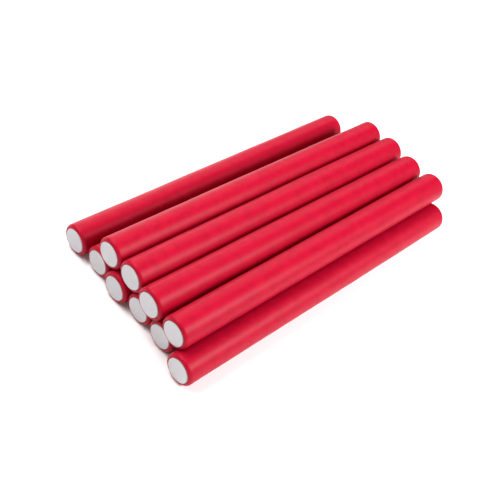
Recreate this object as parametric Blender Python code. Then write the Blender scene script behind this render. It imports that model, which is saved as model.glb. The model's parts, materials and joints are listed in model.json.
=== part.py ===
"""A set of flexible foam hair rollers, stacked in two rows on a flat surface.

Each roller is a soft foam sleeve over a bendable wire core, closed at both ends by a hard plastic
cap whose stem holds the end of the wire.  Six rollers lie side by side on the surface and four lie
in the grooves between them.  The rollers run along X with their near ends at -X, and the rows run
from bottom_1 and top_1 at +Y towards -Y.  The two outer bottom rollers lie slightly askew.  The
origin is on the surface under the middle of the stack's box, with +Z up.  All lengths are in metres.

The top rollers and the two outer bottom rollers have room to fold in half where they lie.  Their
sleeves are made in three lengths, and the middle one bends between two parallel axes.
"""

import math

import bmesh
import bpy
from mathutils import Matrix, Vector

# One roller
ROLLER_DIAMETER = 0.020
ROLLER_LENGTH = 0.240

# How the rollers lie: the spaces between the near ends of neighbours in the bottom row, from
# bottom_1 to bottom_6, the bottom rollers' turns about +Z in degrees, and how far each roller's
# near end stands back from a common line
BOTTOM_GAPS = (0.0020, 0.0018, 0.0004, 0.0020, 0.0038)
BOTTOM_TURNS = (0.35, 0.0, 0.0, 0.0, 0.0, 0.63)
BOTTOM_SETBACKS = (0.0038, 0.0045, 0.0002, 0.0015, -0.0005, -0.0074)
TOP_SETBACKS = (0.0026, 0.0014, -0.0024, -0.0037)
FIRST_GROOVE = 1           # top_1 lies in the groove between bottom_2 and bottom_3
FOLDING_ROLLERS = ("bottom_1", "bottom_6", "top_1", "top_2", "top_3", "top_4")

# The fold: the distance between its two axes, and how far along the foam each bend spreads
BEND_AXIS_SPACING = 0.036
BEND_REACH = BEND_AXIS_SPACING / 2

# End cap: a disc set into the end of the sleeve, with a hollow stem on its back
CAP_DIAMETER = 0.0154
CAP_THICKNESS = 0.0024
CAP_PROUD = 0.0004         # how far the disc stands out of the foam
STEM_DIAMETER = 0.0060
STEM_LENGTH = 0.0080
SOCKET_FLOOR = 0.0028      # plastic in front of the wire's end

WIRE_DIAMETER = 0.0030

GAP = 0.0003               # between pieces that touch

# Facets
SLEEVE_SIDES = 20
RIM_STEPS = 2
CAP_SIDES = 12
WIRE_SIDES = 8
SMOOTH_ANGLE = math.radians(35)

# Sizes that follow from the ones above
SLEEVE_RADIUS = ROLLER_DIAMETER / 2
CAP_RADIUS = CAP_DIAMETER / 2
STEM_RADIUS = STEM_DIAMETER / 2
WIRE_RADIUS = WIRE_DIAMETER / 2
BORE_RADIUS = WIRE_RADIUS + GAP
POCKET_RADIUS = CAP_RADIUS + GAP
RIM_ROUNDING = SLEEVE_RADIUS - POCKET_RADIUS
STEM_END = CAP_THICKNESS + STEM_LENGTH
FIRST_BEND = (ROLLER_LENGTH - BEND_AXIS_SPACING) / 2
SECOND_BEND = (ROLLER_LENGTH + BEND_AXIS_SPACING) / 2
FIRST_CUT = FIRST_BEND - BEND_REACH
SECOND_CUT = SECOND_BEND + BEND_REACH
AXIS_HEIGHT = SLEEVE_RADIUS * math.cos(math.pi / SLEEVE_SIDES)


def clear_scene():
    for obj in list(bpy.data.objects):
        bpy.data.objects.remove(obj, do_unlink=True)


def make_material(name, color, roughness, metallic):
    material = bpy.data.materials.new(name)
    material.use_nodes = True
    shader = material.node_tree.nodes["Principled BSDF"]
    shader.inputs["Base Color"].default_value = (*color, 1.0)
    shader.inputs["Roughness"].default_value = roughness
    shader.inputs["Metallic"].default_value = metallic
    return material


def lathe(name, outline, sides, hollow, material):
    """Turn an outline of (x, radius) points about the X axis, with one facet facing down.

    A hollow outline is a closed loop.  A solid one is open, and its two end rings are filled.
    """
    shape = bmesh.new()
    half_facet = Matrix.Rotation(math.pi / sides, 3, "X")
    points = [shape.verts.new(half_facet @ Vector((x, 0.0, -radius))) for x, radius in outline]
    edges = [shape.edges.new(pair) for pair in zip(points, points[1:])]
    if hollow:
        edges.append(shape.edges.new((points[-1], points[0])))
    bmesh.ops.spin(
        shape,
        geom=points + edges,
        cent=(0.0, 0.0, 0.0),
        axis=(1.0, 0.0, 0.0),
        angle=2 * math.pi,
        steps=sides,
    )
    bmesh.ops.remove_doubles(shape, verts=shape.verts, dist=GAP / 100)
    if not hollow:
        bmesh.ops.holes_fill(shape, edges=shape.edges, sides=sides)
    bmesh.ops.recalc_face_normals(shape, faces=shape.faces)
    mesh = bpy.data.meshes.new(name)
    shape.to_mesh(mesh)
    shape.free()
    mesh.shade_smooth()
    mesh.set_sharp_from_angle(angle=SMOOTH_ANGLE)
    mesh.materials.append(material)
    return mesh


def mirrored(outline):
    """The same outline at the roller's far end."""
    return [(ROLLER_LENGTH - x, radius) for x, radius in outline]


def shifted(outline, origin):
    """The outline measured from a point at origin along the roller."""
    return [(x - origin, radius) for x, radius in outline]


def sleeve_end():
    """A finished end of the sleeve: from its side over the rounded rim and into the bore.

    The pocket behind the rim holds the cap's disc, and the counterbore behind it holds the stem.
    """
    outline = []
    for step in range(RIM_STEPS + 1):
        angle = math.pi / 2 * step / RIM_STEPS
        x = CAP_PROUD + RIM_ROUNDING * (1 - math.sin(angle))
        outline.append((x, POCKET_RADIUS + RIM_ROUNDING * math.cos(angle)))
    outline += [
        (CAP_THICKNESS + GAP, POCKET_RADIUS),
        (CAP_THICKNESS + GAP, STEM_RADIUS + GAP),
        (STEM_END + GAP, STEM_RADIUS + GAP),
        (STEM_END + GAP, BORE_RADIUS),
    ]
    return outline


def square_cut(x):
    return [(x, SLEEVE_RADIUS), (x, BORE_RADIUS)]


def sleeve_outline(start, end):
    """The closed outline of one length of sleeve, from start to end along the roller."""
    near = sleeve_end() if start == 0 else square_cut(start)
    far = mirrored(sleeve_end()) if end == ROLLER_LENGTH else square_cut(end)
    return near + far[::-1]


def cap_outline():
    """The cap at the near end: disc, stem and the blind socket for the wire."""
    socket_radius = WIRE_RADIUS + GAP
    return [
        (0.0, CAP_RADIUS),
        (CAP_THICKNESS, CAP_RADIUS),
        (CAP_THICKNESS, STEM_RADIUS),
        (STEM_END, STEM_RADIUS),
        (STEM_END, socket_radius),
        (SOCKET_FLOOR, socket_radius),
    ]


def wire_outline():
    start = SOCKET_FLOOR + GAP
    return [(start, WIRE_RADIUS), (ROLLER_LENGTH - start, WIRE_RADIUS)]


def make_meshes(foam, plastic, metal):
    """One mesh for each kind of piece, measured from the origin of the body it belongs to."""
    half_gap = GAP / 2
    near = sleeve_outline(0, FIRST_CUT - half_gap)
    middle = sleeve_outline(FIRST_CUT + half_gap, SECOND_CUT - half_gap)
    far = sleeve_outline(SECOND_CUT + half_gap, ROLLER_LENGTH)
    cap = cap_outline()
    return {
        "foam": lathe("foam", sleeve_outline(0, ROLLER_LENGTH), SLEEVE_SIDES, True, foam),
        "foam_near": lathe("foam_near", near, SLEEVE_SIDES, True, foam),
        "foam_middle": lathe(
            "foam_middle", shifted(middle, FIRST_BEND), SLEEVE_SIDES, True, foam
        ),
        "foam_far": lathe("foam_far", shifted(far, SECOND_BEND), SLEEVE_SIDES, True, foam),
        "cap_near": lathe("cap_near", cap, CAP_SIDES, False, plastic),
        "cap_far": lathe("cap_far", mirrored(cap), CAP_SIDES, False, plastic),
        "cap_far_folding": lathe(
            "cap_far_folding", shifted(mirrored(cap), SECOND_BEND), CAP_SIDES, False, plastic
        ),
        "wire": lathe("wire", wire_outline(), WIRE_SIDES, False, metal),
    }


def add_axis(name, location, parent=None):
    """An empty that stands for one moving body, with its origin on the body's joint axis."""
    empty = bpy.data.objects.new(name, None)
    empty.location = location
    empty.empty_display_size = ROLLER_DIAMETER
    empty.parent = parent
    bpy.context.collection.objects.link(empty)
    return empty


def add_piece(name, mesh, body):
    piece = bpy.data.objects.new(name, mesh)
    piece.parent = body
    bpy.context.collection.objects.link(piece)
    return piece


def add_roller(name, ends, meshes):
    """A roller whose axis runs between its two ends."""
    near_end, far_end = ends
    body = add_axis(f"{name}_body", near_end)
    body.rotation_mode = "QUATERNION"
    body.rotation_quaternion = (far_end - near_end).to_track_quat("X", "Z")
    add_piece(f"{name}_core_wire", meshes["wire"], body)
    add_piece(f"{name}_near_cap", meshes["cap_near"], body)
    if name not in FOLDING_ROLLERS:
        add_piece(f"{name}_foam", meshes["foam"], body)
        add_piece(f"{name}_far_cap", meshes["cap_far"], body)
        return body
    first_bend = add_axis(f"{name}_first_bend", (FIRST_BEND, 0.0, 0.0), body)
    second_bend = add_axis(f"{name}_second_bend", (BEND_AXIS_SPACING, 0.0, 0.0), first_bend)
    add_piece(f"{name}_foam_near", meshes["foam_near"], body)
    add_piece(f"{name}_foam_middle", meshes["foam_middle"], first_bend)
    add_piece(f"{name}_foam_far", meshes["foam_far"], second_bend)
    add_piece(f"{name}_far_cap", meshes["cap_far_folding"], second_bend)
    return body


def bottom_ends():
    """The two ends of each bottom roller's axis."""
    ends = []
    y = 0.0
    for gap, turn, setback in zip((0.0, *BOTTOM_GAPS), BOTTOM_TURNS, BOTTOM_SETBACKS):
        if ends:
            y -= ROLLER_DIAMETER + gap
        near_end = Vector((setback, y, AXIS_HEIGHT))
        along = Matrix.Rotation(math.radians(turn), 3, "Z") @ Vector((ROLLER_LENGTH, 0.0, 0.0))
        ends.append((near_end, near_end + along))
    return ends


def place_across(ends, x):
    """Y of a roller's axis at x."""
    near_end, far_end = ends
    return near_end.y + (far_end.y - near_end.y) * (x - near_end.x) / (far_end.x - near_end.x)


def groove_ends(left, right, setback):
    """The two ends of the axis of a roller lying in the groove between two bottom rollers."""
    ends = []
    for x in (setback, setback + ROLLER_LENGTH):
        left_y = place_across(left, x)
        right_y = place_across(right, x)
        half_width = (left_y - right_y) / 2
        rise = math.sqrt((ROLLER_DIAMETER + GAP) ** 2 - half_width ** 2)
        ends.append(Vector((x, (left_y + right_y) / 2, AXIS_HEIGHT + rise)))
    return ends


def centre_stack(bodies):
    """Move the bodies so that the origin is under the middle of the stack's box."""
    bpy.context.view_layer.update()
    points = [
        piece.matrix_world @ vertex.co
        for piece in bpy.data.objects
        if piece.type == "MESH"
        for vertex in piece.data.vertices
    ]
    low = Vector(min(point[axis] for point in points) for axis in range(3))
    high = Vector(max(point[axis] for point in points) for axis in range(3))
    middle = (low + high) / 2
    for body in bodies:
        body.location -= Vector((middle.x, middle.y, low.z))


def build_stack():
    foam = make_material("red_foam", (0.72, 0.012, 0.055), 0.6, 0.0)
    plastic = make_material("white_plastic", (0.80, 0.78, 0.79), 0.4, 0.0)
    metal = make_material("core_wire", (0.60, 0.60, 0.58), 0.35, 1.0)
    meshes = make_meshes(foam, plastic, metal)
    bottom_row = bottom_ends()
    bodies = []
    for number, ends in enumerate(bottom_row, start=1):
        bodies.append(add_roller(f"bottom_{number}", ends, meshes))
    for number, setback in enumerate(TOP_SETBACKS, start=1):
        groove = FIRST_GROOVE + number - 1
        ends = groove_ends(bottom_row[groove], bottom_row[groove + 1], setback)
        bodies.append(add_roller(f"top_{number}", ends, meshes))
    centre_stack(bodies)


clear_scene()
build_stack()
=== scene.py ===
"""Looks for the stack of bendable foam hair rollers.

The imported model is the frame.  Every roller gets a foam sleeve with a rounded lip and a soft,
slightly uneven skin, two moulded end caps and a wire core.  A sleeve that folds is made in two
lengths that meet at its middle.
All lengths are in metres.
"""

import json
import math

import bmesh
import bpy
from mathutils import Matrix, Vector, noise

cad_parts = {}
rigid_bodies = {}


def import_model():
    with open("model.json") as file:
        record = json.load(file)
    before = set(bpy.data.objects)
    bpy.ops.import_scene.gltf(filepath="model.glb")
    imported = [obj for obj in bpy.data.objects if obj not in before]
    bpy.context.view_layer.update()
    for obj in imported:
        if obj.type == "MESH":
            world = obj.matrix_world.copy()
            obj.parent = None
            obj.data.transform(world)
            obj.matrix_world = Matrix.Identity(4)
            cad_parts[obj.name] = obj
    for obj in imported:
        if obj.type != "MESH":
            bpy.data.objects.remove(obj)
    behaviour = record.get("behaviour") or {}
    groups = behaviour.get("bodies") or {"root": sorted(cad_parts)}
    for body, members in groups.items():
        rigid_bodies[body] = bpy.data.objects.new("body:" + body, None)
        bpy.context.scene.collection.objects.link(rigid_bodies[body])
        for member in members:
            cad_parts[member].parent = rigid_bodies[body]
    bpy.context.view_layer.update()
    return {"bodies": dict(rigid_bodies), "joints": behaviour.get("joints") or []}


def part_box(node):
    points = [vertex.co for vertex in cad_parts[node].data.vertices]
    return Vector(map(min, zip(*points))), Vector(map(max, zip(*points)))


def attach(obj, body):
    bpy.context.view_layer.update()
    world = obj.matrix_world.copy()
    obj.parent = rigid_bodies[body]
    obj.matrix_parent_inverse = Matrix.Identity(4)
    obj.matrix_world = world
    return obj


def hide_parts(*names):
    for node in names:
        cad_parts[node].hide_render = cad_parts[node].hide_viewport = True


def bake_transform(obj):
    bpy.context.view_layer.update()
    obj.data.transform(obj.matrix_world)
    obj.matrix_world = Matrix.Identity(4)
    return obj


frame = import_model()

# Sizes of the frame's solids
ROLLER_LENGTH = 0.240         # over the caps
SLEEVE_RADIUS = 0.010
CAP_RADIUS = 0.0077
CAP_THICKNESS = 0.0024
CAP_PROUD = 0.0004            # how far a disc stands out of the foam
STEM_RADIUS = 0.0030
STEM_END = 0.0104
WIRE_RADIUS = 0.0015
WIRE_START = 0.0031
FIT_GAP = 0.0003

# Detail that the solids leave out
SLEEVE_SEGMENTS = 72          # facets round a sleeve
CAP_SEGMENTS = 64
WIRE_SEGMENTS = 20
RING_SPACING = 0.0016         # between rings along a sleeve
LIP_STEPS = 9                 # rings over the rounded lip
CREASE_WIDTH = 0.00025        # groove between a cap's disc and the foam lip
CREASE_DEPTH = 0.0012
CREASE_SLOPE = ((0.25, 0.08), (0.6, 0.3), (1.0, 0.7))  # its side, in shares of depth and width
CROWN_HEIGHT = 0.00012        # how far a disc's middle stands out past its edge
CROWN_STEPS = 8
CAP_EDGE_ROUNDING = 0.0003
CAP_EDGE_STEPS = 6
STEM_FILLET = 0.0003
FILLET_STEPS = 3
END_CHAMFER = 0.0003          # on stems and on the wire
WAVE_HEIGHT = 0.00016         # the skin's slow unevenness
WAVE_LENGTH = 0.045
RIPPLE_SHARE = 0.25           # a shorter unevenness on top of it
RIPPLE_LENGTH = 0.011
WAVE_FADE = 0.006             # the unevenness dies away this close to an end
WAVE_AROUND = 0.35            # how far the unevenness varies round a sleeve
SEED_STEP = 3.7               # between the places in the noise of one sleeve and the next
CONTACT_MARGIN = 0.00004      # a resting sleeve is pressed flat this far above the surface
SLEEVE_EDGE_ANGLE = math.radians(50)  # steeper edges than this are sharp
HARD_EDGE_ANGLE = math.radians(40)    # the same for caps and wires

# Shades as (place on the ramp, colour), and each skin's roughness from low to high
FOAM_SHADES = [
    (0.36, (0.332, 0.0012, 0.0170)),
    (0.50, (0.362, 0.0016, 0.0190)),
    (0.64, (0.388, 0.0021, 0.0210)),
]
FOAM_ROUGHNESS = (0.38, 0.48)
PLASTIC_SHADES = [(0.30, (0.478, 0.458, 0.474)), (0.70, (0.506, 0.486, 0.502))]
PLASTIC_ROUGHNESS = (0.36, 0.46)
WIRE_SHADES = [(0.3, (0.50, 0.50, 0.49)), (0.7, (0.66, 0.66, 0.65))]
WIRE_ROUGHNESS = (0.28, 0.45)
WIRE_STRETCH = (0.03, 1.0, 1.0)  # draws the noise out into lines along the wire

ROLLERS = [name for name in frame["bodies"] if not name.endswith(("_middle", "_far"))]
FOLDING = {name for name in ROLLERS if f"{name}_far" in frame["bodies"]}
HINGES = {joint["name"]: joint for joint in frame["joints"] if joint["type"] == "hinge"}


# ---------------------------------------------------------------------------------------------
# Node helpers


def new_material(name):
    """A new node material, its tree and its Principled shader."""
    material = bpy.data.materials.new(name)
    material.use_nodes = True
    tree = material.node_tree
    return material, tree, tree.nodes["Principled BSDF"]


def noise_texture(tree, coordinates, scale, detail, roughness):
    """Noise of about scale cells a metre, from 0 to 1."""
    node = tree.nodes.new("ShaderNodeTexNoise")
    node.inputs["Scale"].default_value = scale
    node.inputs["Detail"].default_value = detail
    node.inputs["Roughness"].default_value = roughness
    tree.links.new(coordinates, node.inputs["Vector"])
    return node.outputs["Fac"]


def color_ramp(tree, factor, stops):
    """A colour that goes through the stops, (place, colour), as the factor rises."""
    node = tree.nodes.new("ShaderNodeValToRGB")
    while len(node.color_ramp.elements) < len(stops):
        node.color_ramp.elements.new(0.5)
    for element, (position, color) in zip(node.color_ramp.elements, stops):
        element.position = position
        element.color = (*color, 1.0)
    tree.links.new(factor, node.inputs["Fac"])
    return node.outputs["Color"]


def map_range(tree, value, low, high):
    """Value from 0..1 to low..high."""
    node = tree.nodes.new("ShaderNodeMapRange")
    node.inputs["To Min"].default_value = low
    node.inputs["To Max"].default_value = high
    tree.links.new(value, node.inputs["Value"])
    return node.outputs["Result"]


def bump(tree, height, strength, distance, normal=None):
    """The normal of a skin whose height runs over distance metres, on top of another's."""
    node = tree.nodes.new("ShaderNodeBump")
    node.inputs["Strength"].default_value = strength
    node.inputs["Distance"].default_value = distance
    tree.links.new(height, node.inputs["Height"])
    if normal is not None:
        tree.links.new(normal, node.inputs["Normal"])
    return node.outputs["Normal"]


# ---------------------------------------------------------------------------------------------
# Materials


def foam_material():
    """Dyed closed-cell foam: matte and soft, finely pitted, with faint cloudy shade changes."""
    material, tree, shader = new_material("dyed_foam")
    where = tree.nodes.new("ShaderNodeTexCoord").outputs["Object"]
    clouds = noise_texture(tree, where, 160.0, 5.0, 0.62)
    cells = tree.nodes.new("ShaderNodeTexVoronoi")
    cells.inputs["Scale"].default_value = 2600.0
    tree.links.new(where, cells.inputs["Vector"])
    grain = noise_texture(tree, where, 900.0, 4.0, 0.6)
    pits = bump(tree, cells.outputs["Distance"], 0.20, 0.00012)
    skin = bump(tree, grain, 0.16, 0.00020, pits)
    tree.links.new(color_ramp(tree, clouds, FOAM_SHADES), shader.inputs["Base Color"])
    tree.links.new(map_range(tree, grain, *FOAM_ROUGHNESS), shader.inputs["Roughness"])
    tree.links.new(skin, shader.inputs["Normal"])
    shader.inputs["Specular IOR Level"].default_value = 0.11
    return material


def plastic_material():
    """Moulded white plastic: satin, with a faint orange peel and slight clouding."""
    material, tree, shader = new_material("moulded_white")
    where = tree.nodes.new("ShaderNodeTexCoord").outputs["Object"]
    clouds = noise_texture(tree, where, 180.0, 2.0, 0.5)
    peel = noise_texture(tree, where, 1500.0, 2.0, 0.5)
    tree.links.new(color_ramp(tree, clouds, PLASTIC_SHADES), shader.inputs["Base Color"])
    tree.links.new(map_range(tree, clouds, *PLASTIC_ROUGHNESS), shader.inputs["Roughness"])
    tree.links.new(bump(tree, peel, 0.10, 0.00006), shader.inputs["Normal"])
    return material


def wire_material():
    """Drawn aluminium: fine lines along the wire."""
    material, tree, shader = new_material("drawn_aluminium")
    where = tree.nodes.new("ShaderNodeTexCoord").outputs["Object"]
    stretch = tree.nodes.new("ShaderNodeMapping")
    stretch.inputs["Scale"].default_value = WIRE_STRETCH
    tree.links.new(where, stretch.inputs["Vector"])
    lines = noise_texture(tree, stretch.outputs["Vector"], 4000.0, 3.0, 0.6)
    tree.links.new(color_ramp(tree, lines, WIRE_SHADES), shader.inputs["Base Color"])
    tree.links.new(map_range(tree, lines, *WIRE_ROUGHNESS), shader.inputs["Roughness"])
    tree.links.new(bump(tree, lines, 0.15, 0.00005), shader.inputs["Normal"])
    shader.inputs["Metallic"].default_value = 1.0
    return material


# ---------------------------------------------------------------------------------------------
# Geometry


class Roller:
    """One roller's place, read from the frame.

    Its pieces are made with the near end at the origin and the axis along X, and then placed.
    """

    def __init__(self, name):
        self.name = name
        self.folds = name in FOLDING
        lengths = ["foam_near", "foam_middle", "foam_far"] if self.folds else ["foam"]
        self.foam_nodes = [f"{name}_{length}" for length in lengths]
        self.on_surface = name.startswith("bottom")
        if self.folds:
            first = Vector(HINGES[f"{name}_bend"]["pos_m"])
            second = Vector(HINGES[f"{name}_bend_far"]["pos_m"])
            self.along = (second - first).normalized()
            self.half_hinge_spacing = (second - first).length / 2
            self.start = (first + second) / 2 - self.along * ROLLER_LENGTH / 2
        else:
            low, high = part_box(f"{name}_near_cap")
            self.along = Vector((1.0, 0.0, 0.0))
            self.start = Vector((low.x, (low.y + high.y) / 2, (low.z + high.z) / 2))
        self.place = self.along.to_track_quat("X", "Z").to_matrix().to_4x4()
        self.place.translation = self.start


def corner_arc(center, start, end, steps, radius):
    """Points on an arc about center = (x, r), from angle start to angle end, both included."""
    points = []
    for step in range(steps + 1):
        angle = start + (end - start) * step / steps
        points.append((center[0] + radius * math.cos(angle), center[1] + radius * math.sin(angle)))
    return points


def evenly(start, end, spacing):
    """Places from start to end, neither included, about spacing apart."""
    count = max(1, round(abs(end - start) / spacing))
    return [start + (end - start) * step / count for step in range(1, count)]


def turned_mesh(name, outline, segments, closed, shape=None):
    """A mesh turned about the X axis from (x, radius) points.

    closed joins the outline's last ring to its first; otherwise both end rings are filled.
    shape(x, radius, angle) may move a point's radius.
    """
    mesh = bmesh.new()
    rings = []
    for x, radius in outline:
        ring = []
        for step in range(segments):
            angle = 2 * math.pi * step / segments
            reach = radius if shape is None else shape(x, radius, angle)
            ring.append(mesh.verts.new((x, reach * math.cos(angle), reach * math.sin(angle))))
        rings.append(ring)
    pairs = list(zip(rings, rings[1:]))
    if closed:
        pairs.append((rings[-1], rings[0]))
    for one, other in pairs:
        for step in range(segments):
            after = (step + 1) % segments
            mesh.faces.new((one[step], one[after], other[after], other[step]))
    if not closed:
        mesh.faces.new(rings[0])
        mesh.faces.new(rings[-1])
    bmesh.ops.recalc_face_normals(mesh, faces=mesh.faces)
    data = bpy.data.meshes.new(name)
    mesh.to_mesh(data)
    mesh.free()
    data.shade_smooth()
    return data


def place_piece(data, material, roller):
    """An object whose mesh lies in the frame, at the roller's own place."""
    data.transform(roller.place)
    data.materials.append(material)
    piece = bpy.data.objects.new(data.name, data)
    bpy.context.collection.objects.link(piece)
    return piece


def bend_across(piece):
    """The piece's place is baked into its mesh; it is put on no body and does not bend."""
    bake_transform(piece)


def sleeve_end_outline():
    """From the sleeve's side over the lip, down into the crease and into the bore."""
    lip = SLEEVE_RADIUS - CAP_RADIUS - CREASE_WIDTH
    inner = SLEEVE_RADIUS - lip
    bore = WIRE_RADIUS + FIT_GAP
    pocket_end = CAP_THICKNESS + FIT_GAP
    outline = corner_arc((CAP_PROUD + lip, inner), math.pi / 2, math.pi, LIP_STEPS, lip)
    for down, across in CREASE_SLOPE:
        outline.append((CAP_PROUD + CREASE_DEPTH * down, inner - CREASE_WIDTH * across))
    outline += [
        (pocket_end, outline[-1][1]),
        (pocket_end, STEM_RADIUS + FIT_GAP),
        (STEM_END + FIT_GAP, STEM_RADIUS + FIT_GAP),
        (STEM_END + FIT_GAP, bore),
    ]
    return outline


def sleeve_outline(start, end):
    """The closed outline of a stretch of sleeve: outside from start to end, and back inside."""
    bore = WIRE_RADIUS + FIT_GAP
    near = sleeve_end_outline()
    far = [(ROLLER_LENGTH - x, radius) for x, radius in near]
    if start > 0:
        near = [(start, SLEEVE_RADIUS), (start, bore)]
    if end < ROLLER_LENGTH:
        far = [(end, SLEEVE_RADIUS), (end, bore)]
    outside = [(x, SLEEVE_RADIUS) for x in evenly(near[0][0], far[0][0], RING_SPACING)]
    inside = [(x, bore) for x in evenly(far[-1][0], near[-1][0], RING_SPACING * 2)]
    return near[::-1] + outside + far + inside


def build_sleeve(roller, material):
    """The foam sleeve, in two lengths where the roller folds."""
    name = roller.name
    seed = ROLLERS.index(name) * SEED_STEP

    def skin(x, radius, angle):
        """The skin's slow unevenness, the same on both lengths of a sleeve."""
        depth = max(0.0, (radius - CAP_RADIUS) / (SLEEVE_RADIUS - CAP_RADIUS))
        fade = max(0.0, min(1.0, x / WAVE_FADE, (ROLLER_LENGTH - x) / WAVE_FADE))
        around = (WAVE_AROUND * math.cos(angle), WAVE_AROUND * math.sin(angle))
        wave = noise.noise(Vector((x / WAVE_LENGTH + seed, *around)))
        wave += RIPPLE_SHARE * noise.noise(Vector((x / RIPPLE_LENGTH + seed, *around)))
        return radius + WAVE_HEIGHT * wave * depth * fade

    half = ROLLER_LENGTH / 2
    stretches = [("whole", 0, ROLLER_LENGTH, roller.foam_nodes)]
    if roller.folds:
        stretches = [
            ("near", 0, half, roller.foam_nodes[:2]),
            ("far", half, ROLLER_LENGTH, roller.foam_nodes[1:]),
        ]
    for end, start, stop, nodes in stretches:
        data = turned_mesh(
            f"{name}_sleeve_{end}", sleeve_outline(start, stop), SLEEVE_SEGMENTS, True, skin
        )
        piece = place_piece(data, material, roller)
        if roller.on_surface:
            for vertex in data.vertices:
                vertex.co.z = max(vertex.co.z, CONTACT_MARGIN)
        data.set_sharp_from_angle(angle=SLEEVE_EDGE_ANGLE)
        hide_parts(*nodes)
        if roller.folds:
            bend_across(piece)
        else:
            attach(piece, name)


def cap_outline():
    """Crowned disc with a rounded edge, stem with a fillet, and the socket in its end."""
    edge = CAP_EDGE_ROUNDING
    face_radius = CAP_RADIUS - edge
    socket = WIRE_RADIUS + FIT_GAP
    outline = []
    for step in range(1, CROWN_STEPS + 1):
        share = step / CROWN_STEPS
        outline.append((CROWN_HEIGHT * share ** 2, face_radius * share))
    center = (CROWN_HEIGHT + edge, face_radius)
    outline += corner_arc(center, math.pi, math.pi / 2, CAP_EDGE_STEPS, edge)[1:]
    outline += [(CAP_THICKNESS, CAP_RADIUS), (CAP_THICKNESS, STEM_RADIUS + STEM_FILLET)]
    center = (CAP_THICKNESS + STEM_FILLET, STEM_RADIUS + STEM_FILLET)
    outline += corner_arc(center, math.pi, math.pi * 1.5, FILLET_STEPS, STEM_FILLET)[1:]
    outline += [
        (STEM_END - END_CHAMFER, STEM_RADIUS),
        (STEM_END, STEM_RADIUS - END_CHAMFER),
        (STEM_END, socket),
        (WIRE_START - FIT_GAP, socket),
    ]
    return outline


def build_caps(roller, material):
    """The moulded cap in each end, on the body of its own end."""
    for end in ("near", "far"):
        outline = cap_outline()
        body = roller.name
        if end == "far":
            outline = [(ROLLER_LENGTH - x, radius) for x, radius in outline]
            body = f"{roller.name}_far" if roller.folds else roller.name
        node = f"{roller.name}_{end}_cap"
        data = turned_mesh(f"{node}_moulding", outline, CAP_SEGMENTS, False)
        data.set_sharp_from_angle(angle=HARD_EDGE_ANGLE)
        piece = place_piece(data, material, roller)
        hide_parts(node)
        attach(piece, body)


def build_wire(roller, material):
    """The wire core with blunted ends, in two lengths where the roller folds."""
    name = roller.name
    start, stop = WIRE_START, ROLLER_LENGTH - WIRE_START
    blunt = WIRE_RADIUS - END_CHAMFER
    near_tip = [(start, blunt), (start + END_CHAMFER, WIRE_RADIUS)]
    far_tip = [(stop - END_CHAMFER, WIRE_RADIUS), (stop, blunt)]
    middle = [(ROLLER_LENGTH / 2, WIRE_RADIUS)]
    stretches = [("whole", near_tip, far_tip)]
    if roller.folds:
        stretches = [("near", near_tip, middle), ("far", middle, far_tip)]
    for end, first, last in stretches:
        run = [(x, WIRE_RADIUS) for x in evenly(first[-1][0], last[0][0], RING_SPACING)]
        data = turned_mesh(f"{name}_wire_{end}", first + run + last, WIRE_SEGMENTS, False)
        data.set_sharp_from_angle(angle=HARD_EDGE_ANGLE)
        piece = place_piece(data, material, roller)
        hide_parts(f"{name}_core_wire")
        if roller.folds:
            bend_across(piece)
        else:
            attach(piece, name)


# ---------------------------------------------------------------------------------------------
# Stage, light and camera

FLOOR_RADIUS = 0.72           # no wider than the lights reach, or its rim looks grey
FLOOR_CENTER = (-0.10, 0.0)
FLOOR_SEGMENTS = 96
WORLD_STRENGTH = 0.12
LIGHT_TARGET = (-0.12, 0.0, 0.01)
LIGHT_DISTANCE = 1.1
# Soft boxes: azimuth from +X towards +Y and elevation in degrees, size in metres, power in watts
SOFT_BOXES = {
    "front_right": (300, 34, 0.36, 15.3),
    "behind": (90, 60, 0.52, 12.0),
    "upper_left": (135, 60, 0.52, 4.8),
    "front_left": (225, 24, 0.52, 1.4),
    "right_behind": (30, 32, 0.52, 2.1),
    "right_low": (60, 14, 0.52, 2.6),
}

CAMERA_AZIMUTH = math.radians(-54.96)
CAMERA_ELEVATION = math.radians(42.48)
CAMERA_ROLL = math.radians(16.44)
CAMERA_DISTANCE = 0.5266
CAMERA_TARGET = (-0.0332, -0.0140, 0.0180)
CAMERA_LENS = 61.5            # in millimetres, on a sensor 36 mm wide
SENSOR_WIDTH = 36.0


def build_floor():
    """A round pale floor that belongs to the stage."""
    material, tree, shader = new_material("pale_floor")
    where = tree.nodes.new("ShaderNodeTexCoord").outputs["Object"]
    paper = noise_texture(tree, where, 900.0, 3.0, 0.5)
    tree.links.new(bump(tree, paper, 0.05, 0.0001), shader.inputs["Normal"])
    shader.inputs["Base Color"].default_value = (0.96, 0.96, 0.96, 1.0)
    shader.inputs["Roughness"].default_value = 0.9
    shader.inputs["Specular IOR Level"].default_value = 0.2
    rim = []
    for step in range(FLOOR_SEGMENTS):
        angle = 2 * math.pi * step / FLOOR_SEGMENTS
        x, y = FLOOR_RADIUS * math.cos(angle), FLOOR_RADIUS * math.sin(angle)
        rim.append((FLOOR_CENTER[0] + x, FLOOR_CENTER[1] + y, 0.0))
    data = bpy.data.meshes.new("floor")
    data.from_pydata(rim, [], [tuple(range(FLOOR_SEGMENTS))])
    data.materials.append(material)
    floor = bpy.data.objects.new("floor", data)
    bpy.context.collection.objects.link(floor)


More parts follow.
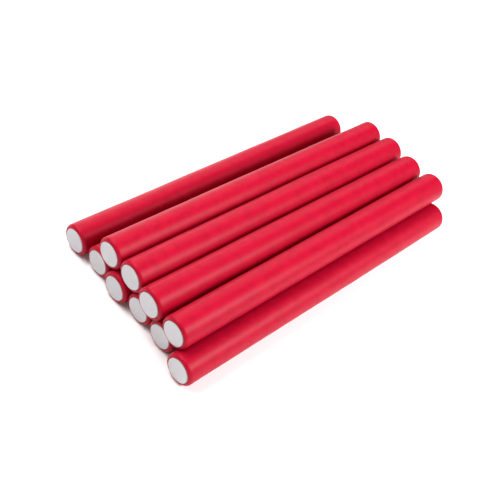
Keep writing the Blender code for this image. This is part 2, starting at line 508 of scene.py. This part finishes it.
def add_soft_box(name, azimuth, elevation, size, power):
    """A square soft light aimed at the stack."""
    light = bpy.data.lights.new(name, "AREA")
    light.shape = "SQUARE"
    light.size = size
    light.energy = power
    azimuth, elevation = math.radians(azimuth), math.radians(elevation)
    flat = math.cos(elevation)
    toward = Vector((math.cos(azimuth) * flat, math.sin(azimuth) * flat, math.sin(elevation)))
    lamp = bpy.data.objects.new(name, light)
    lamp.location = Vector(LIGHT_TARGET) + toward * LIGHT_DISTANCE
    lamp.rotation_euler = toward.to_track_quat("Z", "Y").to_euler()
    bpy.context.collection.objects.link(lamp)


def build_lights():
    """Dim even light from all round behind a white backdrop, and the soft boxes."""
    world = bpy.data.worlds.new("soft_white")
    world.use_nodes = True
    tree = world.node_tree
    seen = tree.nodes.new("ShaderNodeLightPath").outputs["Is Camera Ray"]
    background = tree.nodes["Background"]
    background.inputs["Color"].default_value = (1.0, 1.0, 1.0, 1.0)
    tree.links.new(map_range(tree, seen, WORLD_STRENGTH, 1.0), background.inputs["Strength"])
    bpy.context.scene.world = world
    for name, settings in SOFT_BOXES.items():
        add_soft_box(name, *settings)


def build_camera():
    """The photo's camera: placed by its angles about the target, then rolled."""
    data = bpy.data.cameras.new("camera")
    data.sensor_width = SENSOR_WIDTH
    data.lens = CAMERA_LENS
    camera = bpy.data.objects.new("camera", data)
    flat = math.cos(CAMERA_ELEVATION)
    back = Vector((
        math.sin(CAMERA_AZIMUTH) * flat,
        -math.cos(CAMERA_AZIMUTH) * flat,
        math.sin(CAMERA_ELEVATION),
    ))
    right = Vector((math.cos(CAMERA_AZIMUTH), math.sin(CAMERA_AZIMUTH), 0.0))
    up = back.cross(right)
    turned_right = right * math.cos(CAMERA_ROLL) + up * math.sin(CAMERA_ROLL)
    turned_up = up * math.cos(CAMERA_ROLL) - right * math.sin(CAMERA_ROLL)
    pose = Matrix((turned_right, turned_up, back)).transposed().to_4x4()
    pose.translation = Vector(CAMERA_TARGET) + back * CAMERA_DISTANCE
    camera.matrix_world = pose
    bpy.context.collection.objects.link(camera)
    bpy.context.scene.camera = camera


def main():
    bpy.context.scene.view_settings.view_transform = "Standard"
    build_camera()
    build_floor()
    build_lights()
    foam = foam_material()
    plastic = plastic_material()
    wire = wire_material()
    for name in ROLLERS:
        roller = Roller(name)
        build_sleeve(roller, foam)
        build_caps(roller, plastic)
        build_wire(roller, wire)


main()
